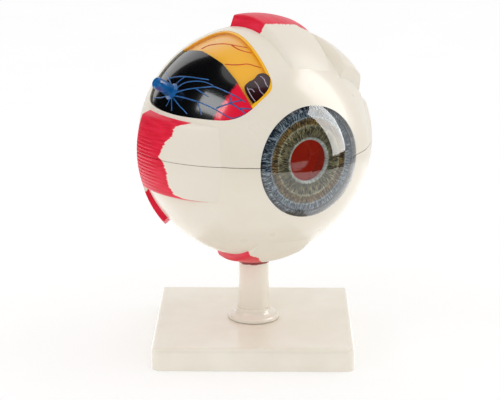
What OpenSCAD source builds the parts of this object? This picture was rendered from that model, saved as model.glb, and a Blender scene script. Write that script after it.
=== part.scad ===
// Anatomical eye model on a swivelling stand, about four times life size.
// The eye opens along its equator: sclera, choroid with iris and retina, lens and
// vitreous body lift off one after the other. Millimetres, +Z up, front of the base -Y,
// origin in the middle of the underside of the base.

/* [Globe] */
// Outer radius of the sclera
globe_r = 48; // [44:0.5:52]
// Height of the middle of the eye above the table
globe_z = 86.3; // [82:0.1:100]
// How far the gaze is turned from the front of the base, degrees
gaze_yaw = 31.5; // [-60:0.5:60]
// Wall of the sclera shell
sclera_wall = 3; // [2.6:0.1:4]
// Gap left between the upper and the lower half of every shell
seam_gap = 0.3; // [0.2:0.05:0.6]

/* [Cornea and iris] */
// Radius of the opening that the cornea closes
limbus_r = 22.4; // [20:0.1:23.5]
// Outer radius of the corneal dome
cornea_r = 31; // [28:0.5:36]
// Wall of the cornea
cornea_wall = 1.5; // [1:0.1:2]
// How deep the rim of the cornea reaches into the sclera
cornea_skirt = 1.6; // [1:0.1:1.8]
// Room for glue between two pieces that are fixed to each other
glue_gap = 0.05; // [0.02:0.01:0.1]
// Radius of the pupil
pupil_r = 8.3; // [6:0.1:10]
// How far the back of the iris lies behind the rim of the cornea
iris_setback = 4.25; // [4.05:0.05:4.5]
// Thickness of the iris at its outer edge
iris_edge_t = 1; // [0.8:0.1:1.2]
// Thickness of the iris round the pupil
iris_pupil_t = 1.7; // [1.3:0.1:1.9]

/* [Inner shells] */
// Running gap between one nested shell and the next
shell_gap = 0.3; // [0.2:0.05:0.5]
// Wall of the choroid shell
choroid_wall = 2; // [1.6:0.1:2.4]
// Thickness of the retina lining
retina_wall = 1; // [0.7:0.1:1.2]
// From the ciliary ring back to the front edge of the retina
retina_gap = 1.1; // [0.6:0.1:2.4]
// Number of notches round the saw-toothed front edge of the retina
ora_count = 36; // [24:2:48]
// Depth of those notches
ora_depth = 1.5; // [0.8:0.1:2]
// Width of those notches at the edge
ora_w = 4; // [2:0.25:5]
// Radius of the raised optic disc inside the retina
disc_r = 3.6; // [2.5:0.1:5]
// How far the optic disc stands in from the retina
disc_h = 0.15; // [0.1:0.01:0.2]

/* [Lens and its cradle] */
// Radius of the lens at its edge
lens_r = 17; // [15:0.1:18]
// Thickness of the lens at its edge
lens_edge_t = 0.6; // [0.4:0.1:1]
// Radius of the front surface of the lens
lens_front_r = 27; // [26:0.5:34]
// Radius of the back surface of the lens
lens_back_r = 22; // [21.5:0.5:28]
// From the back of the iris to the plane of the lens edge
lens_setback = 7.4; // [7.2:0.1:7.7]
// How far the cradle grips over the edge of the lens
cradle_grip = 0.9; // [0.6:0.1:1.2]
// Clearance round the lens in its cradle
lens_clear = 0.25; // [0.2:0.05:0.3]
// Gap between the back of the iris and the ciliary ring
cradle_gap = 1.8; // [0.7:0.1:3]
// Length of the ciliary ring along the gaze
cradle_len = 11.8; // [10.6:0.1:12.2]
// Number of radial folds on the back of the ciliary ring
fold_count = 48; // [36:4:72]
// Depth and half width of the groove between two folds
fold_h = 0.6; // [0.3:0.05:0.7]

/* [Stand] */
// Width of the square base
base_w = 82.5; // [76:0.5:96]
// Height of the base
base_h = 9.4; // [8.5:0.1:14]
// Radius of the upright corners of the base
base_corner_r = 4; // [3:0.5:8]
// Rounding of the top edge of the base
base_edge_r = 2; // [1:0.25:2.75]
// Side walls of the hollow base
base_wall = 3; // [2:0.25:4]
// Top plate of the hollow base
base_top_t = 2.8; // [2:0.1:3.4]
// Thickness of the cross ribs under the base
rib_t = 2; // [1.4:0.1:3]
// Inner corner radius of the pockets between the ribs
pocket_r = 1.5; // [1:0.25:3]
// Radius of the boss that carries the post
boss_r = 10.5; // [9.5:0.25:13]
// Radius of the post
post_r = 6.5; // [5.5:0.25:8]
// Radius of the collar at the foot of the post
collar_r = 10.75; // [9:0.25:13]
// Height of the collar at the foot of the post
collar_h = 4.6; // [3:0.1:7]
// Radius of the journal of the post in the base
journal_r = 5; // [4:0.25:5.25]
// Radius of the spigot that the eye is set on
spigot_r = 4; // [3:0.25:4.75]
// How far the spigot reaches down into the head of the post
spigot_root = 4; // [2:0.5:8]
// Running fit of journal and spigot in their bores
bore_fit = 0.05; // [0.03:0.01:0.1]
// Gap under the collar and between the post and the eye
seat_gap = 0.3; // [0.2:0.05:0.5]
// Radius of the washer under the base
washer_r = 8; // [6.5:0.25:9]
// Thickness of the washer
washer_t = 1; // [0.8:0.1:1.4]
// Radius of the screw in the post
screw_r = 1.8; // [1.5:0.1:2.2]
// Length of the screw in the post
screw_len = 14; // [8:0.5:20]
// Radius of the head of the screw
screw_head_r = 3.6; // [3:0.1:4.5]
// Height of the head of the screw
screw_head_h = 1.5; // [1.2:0.1:1.8]
// Height of the upright rim of the collar
collar_rim_h = 1.6; // [1.2:0.1:2.4]
// Step at the rim and at the neck of the collar
collar_step = 0.6; // [0.3:0.1:0.9]
// Width of the cross recess in the screw
recess_w = 0.8; // [0.5:0.1:1.2]
// Length of the cross recess in the screw
recess_len = 4; // [3:0.25:5]
// Depth of the cross recess in the screw
recess_h = 0.8; // [0.5:0.1:1.1]

/* [Muscles] */
// Thickness of the four straight muscles of the side where they are cut off
side_muscle_t = 3.2; // [2.4:0.1:4.5]
// Width of the side muscles at the cut
side_muscle_w = 29.5; // [24:0.5:34]
// Thickness of the upper straight muscle at the cut
top_muscle_t = 4.6; // [3:0.1:6]
// Width of the upper straight muscle at the cut
top_muscle_w = 25; // [20:0.5:28]
// Thickness of the lower straight muscle at the cut
low_muscle_t = 3.4; // [2.4:0.1:4.5]
// Width of the lower straight muscle at the cut
low_muscle_w = 27; // [22:0.5:30]
// Thickness of the upper slanting muscle at the cut
top_strap_t = 5; // [3:0.1:6]
// Width of the upper slanting muscle at the cut
top_strap_w = 19; // [14:0.5:22]
// Thickness of the lower slanting muscle at the cut
low_strap_t = 2.6; // [1.6:0.1:4]
// Width of the lower slanting muscle at the cut
low_strap_w = 16; // [12:0.5:20]
// How far each side widens from the cut to the end of its tendon
tendon_spread = 4; // [0:0.5:6]
// The same for the lower straight muscle
low_spread = 2; // [0:0.5:4]
// How far each side of the upper slanting muscle draws in
top_strap_taper = 2; // [0:0.5:4]
// How far each side of the lower slanting muscle draws in
low_strap_taper = 1; // [0:0.5:3]
// How far the cut of a side muscle bows out in the middle
side_bow = 0.6; // [0:0.1:1.5]
// How far the cut of the upper muscles bows out in the middle
top_bow = 1.5; // [0:0.1:3]
// How far the cut of the lower straight muscle bows out in the middle
low_bow = 6; // [0:0.5:7]
// How far the cut face of the upper slanting muscle leans back, degrees
top_strap_slope = 40; // [25:1:50]
// Distance from one bundle of muscle fibres to the next
fibre_pitch = 1.7; // [1.4:0.1:2.4]
// Radius of the back of each bundle
fibre_r = 1.2; // [1:0.05:1.4]

/* [Window in the upper shell] */
// Depth from the sclera down to the yellow retina field
retina_depth = 1.4; // [1:0.1:2]
// Depth from the sclera down to the black choroid field
choroid_depth = 0.7; // [0.4:0.1:0.9]
// Depth from the sclera down to the ciliary field
ciliary_depth = 0.4; // [0.2:0.1:0.9]
// Width of the raised yellow lip round the retina field
lip_w = 1.2; // [0.8:0.1:1.6]
// How far that lip stays below the sclera
lip_drop = 0.1; // [0.05:0.05:0.3]
// Radius of the cut vein
vein_r = 2.5; // [1.8:0.1:3]
// Length of the cut vein outside the choroid field
vein_len = 8.8; // [6:0.1:12]
// Width of the foot of the cut vein
vein_foot = 1; // [0.5:0.1:1.5]
// Bevel round the end of the cut vein
vein_edge = 0.6; // [0.3:0.1:1]

/* [Optic nerve and pins] */
// Radius of the optic nerve
nerve_r = 8; // [6:0.25:10]
// Length of the optic nerve behind the eye
nerve_len = 12; // [8:0.5:20]
// Radius of the bundle of fibres in the optic nerve
nerve_core_r = 5; // [4:0.25:5]
// Wall of the sheath round the optic nerve
nerve_sheath = 1.6; // [0.8:0.1:1.8]
// How far the fibres stand out of the cut sheath
nerve_core_out = 1.1; // [0.6:0.1:2]
// How far the foot of the optic nerve flares out
nerve_flare = 2; // [1:0.25:3]
// Radius of the pins that line up the halves of the sclera
pin_r = 1.5; // [1.2:0.1:1.6]
// How far each pin stands up from the seam
pin_up = 4; // [3:0.25:5]
// How deep each pin sits in the lower half
pin_down = 5; // [4:0.25:6]
// Radial clearance of each pin in the upper half
pin_fit = 0.08; // [0.05:0.01:0.1]
// Chamfer at the tip of each pin
pin_tip = 0.5; // [0.2:0.1:0.8]
// Radius of the pins in the ciliary ring
cradle_pin_r = 1.2; // [1:0.1:1.5]
// How far outside the edge of the lens those pins stand
cradle_pin_out = 6.5; // [5:0.25:8]

/* [Hidden] */
$fn = 96;

// Places on the globe are [longitude, latitude]: longitude runs from the gaze round the
// outer side of the head (+90) to the back, and -90 is the side of the nose.
lateral_cut = [99, 0];
lateral_end = [46, 0];
medial_cut = [-101, 0];
medial_end = [-50, 0];
top_cut = [-145, 75.3];
top_end = [-15, 45];
low_cut = [153, -85];
low_end = [5, -46];
top_strap_cut = [-47, 33.5];
top_strap_end = [-113, 64];
low_strap_cut = [112, -42];
low_strap_end = [124, -8];
nerve_place = [-165, 0];
vein_place = [86, 32.3];
window_place = [66, 46];
pin_longitude = 92;

sclera_in_r = globe_r - sclera_wall;
choroid_r = sclera_in_r - shell_gap;
choroid_in_r = choroid_r - choroid_wall;
retina_in_r = choroid_in_r - retina_wall;
vitreous_r = retina_in_r - shell_gap;
limbus_plane = sqrt(pow(globe_r, 2) - pow(limbus_r, 2));
iris_back = limbus_plane - iris_setback;
cornea_mid = limbus_plane - sqrt(pow(cornea_r, 2) - pow(limbus_r, 2));
cornea_in_r = cornea_r - cornea_wall;
cornea_bore_r = sqrt(pow(cornea_in_r, 2) - pow(limbus_plane - cornea_mid, 2));
cornea_overlap = 0.01;
lens_plane = iris_back - lens_setback;
cradle_front = iris_back - cradle_gap;
cradle_back = cradle_front - cradle_len;
retina_front = cradle_back - retina_gap;
lens_front_mid = lens_plane + lens_edge_t / 2 - sqrt(pow(lens_front_r, 2) - pow(lens_r, 2));
lens_back_mid = lens_plane - lens_edge_t / 2 + sqrt(pow(lens_back_r, 2) - pow(lens_r, 2));
lens_back = lens_back_mid - lens_back_r;
vitreous_face = lens_back - shell_gap;
pin_ring_r = globe_r + seam_gap;
cradle_pin_x = lens_r + cradle_pin_out;
foot_clear = 0.6;
boss_foot = washer_t + screw_head_h + foot_clear;
journal_foot = boss_foot - seat_gap;
retina_field_r = globe_r - retina_depth;
choroid_field_r = globe_r - choroid_depth;
ciliary_field_r = globe_r - ciliary_depth;
far = 3 * globe_r;
// Overlap of two bodies that are joined or cut
eps = 0.5;

ivory = "#f0e9da";
muscle_red = "#d81340";
clear_plastic = "#dfeaf0";
choroid_brown = "#5a2a1c";
retina_orange = "#e0763a";
steel = "#c0c4c8";

// ---- places on the globe ------------------------------------------------------------

function toward(p) = [-cos(p[1]) * sin(p[0]), -cos(p[1]) * cos(p[0]), sin(p[1])];

module in_eye() {
  translate([0, 0, globe_z]) rotate([0, 0, gaze_yaw]) children();
}

// +Z points along the gaze
module along_gaze() {
  rotate([90, 0, 0]) children();
}

// +Z points out of the globe at p and +Y points up the globe
module facing(p) {
  rotate([0, 0, -p[0]]) rotate([90 - p[1], 0, 0]) children();
}

// +Z points out of the globe at from and +Y runs on towards to
module running(from, to) {
  z = toward(from);
  reach = toward(to) - (toward(to) * z) * z;
  y = reach / norm(reach);
  x = cross(y, z);
  multmatrix([[x[0], y[0], z[0], 0], [x[1], y[1], z[1], 0], [x[2], y[2], z[2], 0], [0, 0, 0, 1]])
    children();
}

module upper_part() {
  intersection() {
    children();
    translate([-far, -far, seam_gap / 2]) cube([2 * far, 2 * far, far]);
  }
}

module lower_part() {
  intersection() {
    children();
    translate([-far, -far, -far - seam_gap / 2]) cube([2 * far, 2 * far, far]);
  }
}

// Closed smooth curve through a few points
function blend(a, b, c, d, t) =
  0.5 * (2 * b + (c - a) * t + (2 * a - 5 * b + 4 * c - d) * t * t
    + (3 * b - a - 3 * c + d) * t * t * t);
function smooth(points, steps) = [
  for (i = [0:len(points) - 1], s = [0:steps - 1])
    let (n = len(points))
    blend(points[(i + n - 1) % n], points[i], points[(i + 1) % n], points[(i + 2) % n], s / steps)
];

// ---- stand --------------------------------------------------------------------------

module rounded_square(w, r) {
  union() {
    square([w, w - 2 * r], center = true);
    square([w - 2 * r, w], center = true);
    for (x = [-1, 1], y = [-1, 1]) translate([x * (w / 2 - r), y * (w / 2 - r)]) circle(r);
  }
}

// Side view of the block: a bar with its two top corners rounded
module rounded_bar(w, h, edge) {
  square([w, 2 * (h - edge)], center = true);
  square([w - 2 * edge, 2 * h], center = true);
  for (x = [-1, 1]) translate([x * (w / 2 - edge), h - edge]) circle(edge);
}

// Square block with rounded corners and a rounded top edge
module rounded_block(w, h, corner, edge) {
  intersection() {
    linear_extrude(height = h) rounded_square(w, corner);
    rotate([90, 0, 0]) linear_extrude(height = 2 * w, center = true) rounded_bar(w, h, edge);
    rotate([90, 0, 90]) linear_extrude(height = 2 * w, center = true) rounded_bar(w, h, edge);
  }
}

module base() {
  pocket = (base_w - 2 * base_wall - rib_t) / 2;
  color(ivory) difference() {
    union() {
      difference() {
        rounded_block(base_w, base_h, base_corner_r, base_edge_r);
        for (x = [-1, 1], y = [-1, 1])
          translate([x * (pocket + rib_t) / 2, y * (pocket + rib_t) / 2, -1])
            linear_extrude(height = base_h - base_top_t + 1) rounded_square(pocket, pocket_r);
        translate([0, 0, -1]) cylinder(r = boss_r, h = boss_foot + 1);
      }
      translate([0, 0, boss_foot]) cylinder(r = boss_r, h = base_h - base_top_t - boss_foot + eps);
    }
    translate([0, 0, -1]) cylinder(r = journal_r + bore_fit, h = base_h + 2);
  }
}

module post() {
  foot = base_h + seat_gap;
  head = globe_z - globe_r - low_muscle_t / 2;
  color(ivory) difference() {
    union() {
      translate([0, 0, journal_foot]) cylinder(r = journal_r, h = foot + 1 - journal_foot);
      translate([0, 0, foot]) rotate_extrude() polygon(collar_profile());
      difference() {
        translate([0, 0, foot]) cylinder(r = post_r, h = head - foot);
        in_eye() muscle_belly(low_cut, low_end, low_muscle_t, seat_gap);
      }
      translate([0, 0, head - spigot_root])
        cylinder(r = spigot_r, h = globe_z - choroid_r - 2 * shell_gap - head + spigot_root);
    }
    translate([0, 0, journal_foot - 1]) cylinder(r = screw_r, h = screw_len + 1 + eps);
  }
}

// Half section of the collar: an upright rim and a shoulder that hollows up to the post
function collar_profile() = let (shoulder = collar_r - collar_step, neck = post_r + collar_step)
  concat(
    [[post_r - eps, 0], [collar_r, 0], [collar_r, collar_rim_h - collar_step],
      [collar_r - collar_step, collar_rim_h]],
    [for (a = [15:15:90])
      [neck + (shoulder - neck) * (1 - sin(a)), collar_h - (collar_h - collar_rim_h) * cos(a)]],
    [[post_r - eps, collar_h]]
  );

module post_washer() {
  color(steel) translate([0, 0, journal_foot - washer_t]) difference() {
    cylinder(r = washer_r, h = washer_t);
    translate([0, 0, -1]) cylinder(r = screw_r, h = washer_t + 2);
  }
}

module post_screw() {
  seat = journal_foot - washer_t;
  color(steel) difference() {
    union() {
      translate([0, 0, seat - screw_head_h]) cylinder(r = screw_head_r, h = screw_head_h);
      translate([0, 0, seat - eps]) cylinder(r = screw_r, h = washer_t + screw_len + eps);
    }
    for (turn = [0, 90]) rotate([0, 0, turn]) translate([0, 0, seat - screw_head_h])
      cube([recess_len, recess_w, 2 * recess_h], center = true);
  }
}

// ---- muscles ------------------------------------------------------------------------

function angle_between(a, b) = acos(toward(a) * toward(b));
// The outer face of a muscle is a ball, set off towards the cut end so that it rises out
// of the globe where the tendon ends and stands thick above it at the cut
function belly_shift(span, thick) =
  (pow(globe_r + thick, 2) - pow(globe_r, 2)) / (2 * (globe_r + thick - globe_r * cos(span)));

module muscle_belly(from, to, thick, grow = 0) {
  shift = belly_shift(angle_between(from, to), thick);
  running(from, to) translate([0, 0, shift]) sphere(globe_r + thick - shift + grow);
}

// The same ball with its skin drawn up into bundles of fibres, turned about the axis
// across the muscle so that every bundle runs from the cut to the tendon
module fibre_belly(from, to, thick, width) {
  shift = belly_shift(angle_between(from, to), thick);
  ball_r = globe_r + thick - shift;
  pitch_angle = fibre_pitch / ball_r * 180 / PI;
  last = ceil(width / 2 / fibre_pitch) + 1;
  running(from, to) translate([0, 0, shift]) rotate([0, 90, 0]) rotate_extrude() intersection() {
    union() {
      circle(ball_r - fibre_r);
      for (i = [-last:last]) rotate(i * pitch_angle) translate([ball_r - fibre_r, 0]) circle(fibre_r);
    }
    translate([0, -ball_r]) square([ball_r, 2 * ball_r]);
  }
}

function muscle_side(side, reach, cut_w, spread) = [
  for (s = [0:0.125:1]) [side * (cut_w / 2 + spread * s * s), s * reach]
];
function reversed(points) = [for (i = [len(points) - 1:-1:0]) points[i]];

// Outline seen square on to the cut end: a bowed cut and sides that spread like a fan
module muscle_outline(from, to, cut_w, spread, bow) {
  reach = globe_r * sin(angle_between(from, to)) + 2;
  running(from, to) linear_extrude(height = far) polygon(concat(
    muscle_side(1, reach, cut_w, spread),
    reversed(muscle_side(-1, reach, cut_w, spread)),
    [for (x = [-0.75:0.25:0.75]) [x * cut_w / 2, -bow * (1 - x * x)]]
  ));
}

// A wedge between the globe and the belly given as child
module muscle(from, to, cut_w, spread, bow) {
  difference() {
    intersection() {
      children();
      muscle_outline(from, to, cut_w, spread, bow);
    }
    sphere(globe_r);
  }
}

module side_muscle(from, to) {
  difference() {
    muscle(from, to, side_muscle_w, tendon_spread, side_bow)
      fibre_belly(from, to, side_muscle_t, side_muscle_w + 2 * tendon_spread);
    pin_bores();
  }
}

module lateral_rectus() { side_muscle(lateral_cut, lateral_end); }
module medial_rectus() { side_muscle(medial_cut, medial_end); }

module lateral_rectus_upper() { color(muscle_red) in_eye() upper_part() lateral_rectus(); }
module lateral_rectus_lower() { color(muscle_red) in_eye() lower_part() lateral_rectus(); }
module medial_rectus_upper() { color(muscle_red) in_eye() upper_part() medial_rectus(); }
module medial_rectus_lower() { color(muscle_red) in_eye() lower_part() medial_rectus(); }

module superior_rectus() {
  color(muscle_red) in_eye() muscle(top_cut, top_end, top_muscle_w, tendon_spread, top_bow)
    fibre_belly(top_cut, top_end, top_muscle_t, top_muscle_w + 2 * tendon_spread);
}

// It passes under the upper straight muscle, and its cut face leans back over it
module superior_oblique() {
  color(ivory) in_eye() difference() {
    muscle(top_strap_cut, top_strap_end, top_strap_w, -top_strap_taper, top_bow)
      muscle_belly(top_strap_cut, top_strap_end, top_strap_t);
    muscle_outline(top_cut, top_end, top_muscle_w + 2 * glue_gap, tendon_spread, top_bow + glue_gap);
    running(top_strap_cut, top_strap_end) translate([0, 0, globe_r]) rotate([-top_strap_slope, 0, 0])
      translate([-top_strap_w, -far, -far / 2]) cube([2 * top_strap_w, far, far]);
  }
}

module inferior_rectus() {
  color(muscle_red) in_eye() difference() {
    muscle(low_cut, low_end, low_muscle_w, low_spread, low_bow)
      fibre_belly(low_cut, low_end, low_muscle_t, low_muscle_w + 2 * low_spread);
    spigot_bore();
  }
}

module inferior_oblique() {
  color(muscle_red) in_eye() muscle(low_strap_cut, low_strap_end, low_strap_w, -low_strap_taper, side_bow)
    fibre_belly(low_strap_cut, low_strap_end, low_strap_t, low_strap_w);
}

module spigot_bore() {
  translate([0, 0, -far]) cylinder(r = spigot_r + bore_fit, h = far);
}

// ---- sclera and what is glued on it -------------------------------------------------

module sclera() {
  difference() {
    sphere(globe_r);
    sphere(sclera_in_r);
    along_gaze() cylinder(r = limbus_r, h = far);
    pin_bores();
  }
}

// A snug bore under the seam and a running fit above it, at both side muscles
module pin_bores() {
  for (side = [-1, 1]) rotate([0, 0, side * pin_longitude]) translate([0, -pin_ring_r, 0]) {
    translate([0, 0, -pin_down - seam_gap]) cylinder(r = pin_r, h = pin_down + seam_gap);
    cylinder(r = pin_r + pin_fit, h = pin_up + seam_gap);
  }
}

module locating_pins() {
  color(steel) in_eye()
    for (side = [-1, 1]) rotate([0, 0, side * pin_longitude]) translate([0, -pin_ring_r, 0]) {
      translate([0, 0, -pin_down]) cylinder(r = pin_r, h = pin_down + pin_up - pin_tip);
      translate([0, 0, pin_up - pin_tip]) cylinder(r1 = pin_r, r2 = pin_r - pin_tip, h = pin_tip);
    }
}

module sclera_lower() {
  color(ivory) in_eye() difference() {
    lower_part() sclera();
    spigot_bore();
  }
}

module sclera_upper() {
  color(ivory) in_eye() difference() {
    upper_part() sclera();
    window_prism(window_outline);
  }
}

module cornea() {
  difference() {
    union() {
      intersection() {
        translate([0, 0, cornea_mid]) sphere(cornea_r);
        translate([0, 0, limbus_plane]) cylinder(r = cornea_r, h = cornea_r);
      }
      translate([0, 0, limbus_plane - cornea_skirt])
        cylinder(r = limbus_r - glue_gap, h = cornea_skirt);
    }
    translate([0, 0, cornea_mid]) sphere(cornea_in_r);
    translate([0, 0, limbus_plane - cornea_skirt - eps])
      cylinder(r = cornea_bore_r, h = cornea_skirt + eps + cornea_overlap);
  }
}

module cornea_upper() { color(clear_plastic) in_eye() upper_part() along_gaze() cornea(); }
module cornea_lower() { color(clear_plastic) in_eye() lower_part() along_gaze() cornea(); }

// Nerve in its sheath: a foot that flares on to the globe, a cut end with the core proud
module optic_nerve() {
  end = globe_r + nerve_len;
  groove = end - nerve_core_out;
  foot = sqrt(pow(globe_r, 2) - pow(nerve_r + nerve_flare, 2));
  difference() {
    facing(nerve_place) rotate_extrude() polygon(concat(
      [[0, foot - eps], [nerve_r + nerve_flare, foot - eps]],
      [for (a = [0:15:90]) [nerve_r + nerve_flare * (1 - sin(a)), globe_r + nerve_flare * (1 - cos(a))]],
      [[nerve_r, end - pin_tip], [nerve_r - pin_tip, end], [nerve_r - nerve_sheath, end],
        [nerve_r - nerve_sheath, groove], [nerve_core_r, groove],
        [nerve_core_r, end + nerve_core_out - pin_tip], [nerve_core_r - pin_tip, end + nerve_core_out],
        [0, end + nerve_core_out]]
    ));
    sphere(globe_r);
  }
}

module optic_nerve_upper() { color(ivory) in_eye() upper_part() optic_nerve(); }
module optic_nerve_lower() { color(ivory) in_eye() lower_part() optic_nerve(); }

// ---- window in the upper shell: painted layers of the wall --------------------------

// Outlines on the globe, in degrees from window_place: towards the cornea, and up
window_outline = [
  [-35.7, -12], [-24.6, -19.2], [-9.6, -23.6], [4.8, -24.1], [18.8, -21.5], [27.3, -15.5],
  [32.5, -6], [34.2, 2.4], [26.6, 11], [12.6, 22], [0, 29.5], [-10.8, 31.4], [-20.1, 24],
  [-30, 12.6], [-37.2, 0]
];
choroid_edge = [
  [-69.6, 18.2], [-27.3, 15.7], [-10.2, 12.8], [6.3, 6], [17, -1], [30, -11.4], [45.1, -24.6]
];
ciliary_outline = [
  [22.3, -3.1], [22.9, 0.2], [24.5, 2.6], [25.2, 6.2], [27.8, 7.8], [31.1, 6.5],
  [32.8, 2.4], [32.5, -2.4], [29.7, -8.4], [25.9, -6.9]
];

function on_globe(points) = [for (p = points) globe_r * [sin(p[0]), sin(p[1])]];
function spread_of(points, axis) =
  max([for (p = points) p[axis]]) - min([for (p = points) p[axis]]);

// Prism through an outline, drawn in by inset on every side
module window_prism(points, inset = 0) {
  outline = on_globe(points);
  facing(window_place) linear_extrude(height = far)
    scale([1 - 2 * inset / spread_of(outline, 0), 1 - 2 * inset / spread_of(outline, 1)])
      polygon(smooth(outline, 5));
}

// All of the globe below the rim of the choroid
module choroid_zone() {
  facing(window_place) linear_extrude(height = far)
    polygon(on_globe(concat(choroid_edge, [[45.1, -90], [-90, -90], [-90, 18.2]])));
}

module layer(inner_r, outer_r) {
  intersection() {
    difference() {
      sphere(outer_r);
      sphere(inner_r);
    }
    children();
  }
}

module retina_window() {
  color("#fbb82e") in_eye() {
    layer(sclera_in_r, retina_field_r) window_prism(window_outline);
    difference() {
      layer(retina_field_r, globe_r - lip_drop) window_prism(window_outline);
      window_prism(window_outline, lip_w);
      choroid_zone();
      window_prism(ciliary_outline);
    }
  }
}

module choroid_window() {
  color("#15151a") in_eye() difference() {
    layer(retina_field_r, choroid_field_r) intersection() {
      window_prism(window_outline);
      choroid_zone();
    }
    window_prism(ciliary_outline);
  }
}

module ciliary_window() {
  color("#3a0a12") in_eye() layer(retina_field_r, ciliary_field_r) intersection() {
    window_prism(ciliary_outline);
    window_prism(window_outline);
  }
}

module vortex_vein() {
  end = choroid_field_r + vein_len;
  color("#1560a0") in_eye() difference() {
    facing(vein_place) rotate_extrude() polygon([
      [0, choroid_field_r - 1], [vein_r + vein_foot, choroid_field_r - 1],
      [vein_r + vein_foot, choroid_field_r], [vein_r, choroid_field_r + vein_foot],
      [vein_r, end - vein_edge], [vein_r - vein_edge, end], [0, end]
    ]);
    sphere(choroid_field_r);
  }
}

// ---- choroid, retina, iris and ciliary ring -----------------------------------------

// V-shaped notches that run out from the axis, their points at a height depth
module radial_notches(count, half_w, depth) {
  for (i = [0.5:count]) rotate([0, 0, i * 360 / count]) rotate([90, 0, 90])
    linear_extrude(height = globe_r) polygon([[-half_w, 0], [0, depth], [half_w, 0], [0, -depth]]);
}

module choroid() {
  difference() {
    sphere(choroid_r);
    sphere(choroid_in_r);
    along_gaze() translate([0, 0, iris_back]) cylinder(r = globe_r, h = far);
  }
}

module choroid_upper() { color(choroid_brown) in_eye() upper_part() choroid(); }
module choroid_lower() { color(choroid_brown) in_eye() lower_part() choroid(); }

module retina() {
  difference() {
    sphere(choroid_in_r);
    difference() {
      sphere(retina_in_r);
      facing(nerve_place) translate([0, 0, retina_in_r - disc_h]) cylinder(r = disc_r, h = globe_r);
    }
    along_gaze() translate([0, 0, retina_front]) cylinder(r = globe_r, h = far);
    along_gaze() translate([0, 0, retina_front]) radial_notches(ora_count, ora_w / 2, -ora_depth);
  }
}

module retina_upper() { color(retina_orange) in_eye() upper_part() retina(); }
module retina_lower() { color(retina_orange) in_eye() lower_part() retina(); }

// Half-width of the inside of the sclera at a distance z along the gaze
function chamber_r(z) = sqrt(pow(choroid_r, 2) - pow(z, 2));

module iris() {
  front = iris_back + iris_edge_t;
  along_gaze() rotate_extrude() polygon([
    [pupil_r, iris_back], [chamber_r(iris_back), iris_back], [chamber_r(front), front],
    [pupil_r, iris_back + iris_pupil_t]
  ]);
}

module iris_upper() { color("#5b6f7c") in_eye() upper_part() iris(); }
module iris_lower() { color("#5b6f7c") in_eye() lower_part() iris(); }

module lens_body(grow) {
  intersection() {
    translate([0, 0, lens_front_mid]) sphere(lens_front_r + grow);
    translate([0, 0, lens_back_mid]) sphere(lens_back_r + grow);
    translate([0, 0, lens_plane - lens_r]) cylinder(r = lens_r + grow, h = 2 * lens_r);
  }
}

// The lens edge lies in a groove round the inside of the ring
module ciliary_ring() {
  difference() {
    intersection() {
      sphere(choroid_in_r);
      along_gaze() translate([0, 0, cradle_back])
        cylinder(r = globe_r, h = cradle_front - cradle_back);
    }
    along_gaze() cylinder(r = lens_r - cradle_grip, h = globe_r);
    along_gaze() lens_body(lens_clear);
    along_gaze() translate([0, 0, cradle_back]) radial_notches(fold_count, fold_h, fold_h);
    for (side = [-1, 1]) translate([side * cradle_pin_x, -lens_plane, 0]) {
      translate([0, 0, -pin_up]) cylinder(r = cradle_pin_r, h = pin_up);
      cylinder(r = cradle_pin_r + pin_fit, h = pin_up);
    }
  }
}

module ciliary_ring_upper() { color("#7a3b2c") in_eye() upper_part() ciliary_ring(); }
module ciliary_ring_lower() { color("#7a3b2c") in_eye() lower_part() ciliary_ring(); }

module cradle_pins() {
  color(steel) in_eye() for (side = [-1, 1])
    translate([side * cradle_pin_x, -lens_plane, -pin_up])
      cylinder(r = cradle_pin_r, h = 2 * pin_up - pin_tip);
}

module lens() { color(clear_plastic) in_eye() along_gaze() lens_body(0); }

// Clear ball with a flat face, so that the lens in front of it lifts straight out
module vitreous_body() {
  color(clear_plastic) in_eye() along_gaze() rotate_extrude() intersection() {
    circle(vitreous_r);
    translate([0, -vitreous_r]) square([vitreous_r, vitreous_r + vitreous_face]);
  }
}

base();
post();
post_washer();
post_screw();
sclera_lower();
cornea_lower();
lateral_rectus_lower();
medial_rectus_lower();
inferior_rectus();
inferior_oblique();
optic_nerve_lower();
locating_pins();
choroid_lower();
retina_lower();
iris_lower();
ciliary_ring_lower();
cradle_pins();
vitreous_body();
lens();
choroid_upper();
retina_upper();
iris_upper();
ciliary_ring_upper();
sclera_upper();
cornea_upper();
lateral_rectus_upper();
medial_rectus_upper();
superior_rectus();
superior_oblique();
optic_nerve_upper();
retina_window();
choroid_window();
ciliary_window();
vortex_vein();
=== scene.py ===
"""Anatomical eye model on a swivelling stand: finishes, muscles, iris, vessels and studio."""

import math

import bpy
from mathutils import Matrix, Vector


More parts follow.
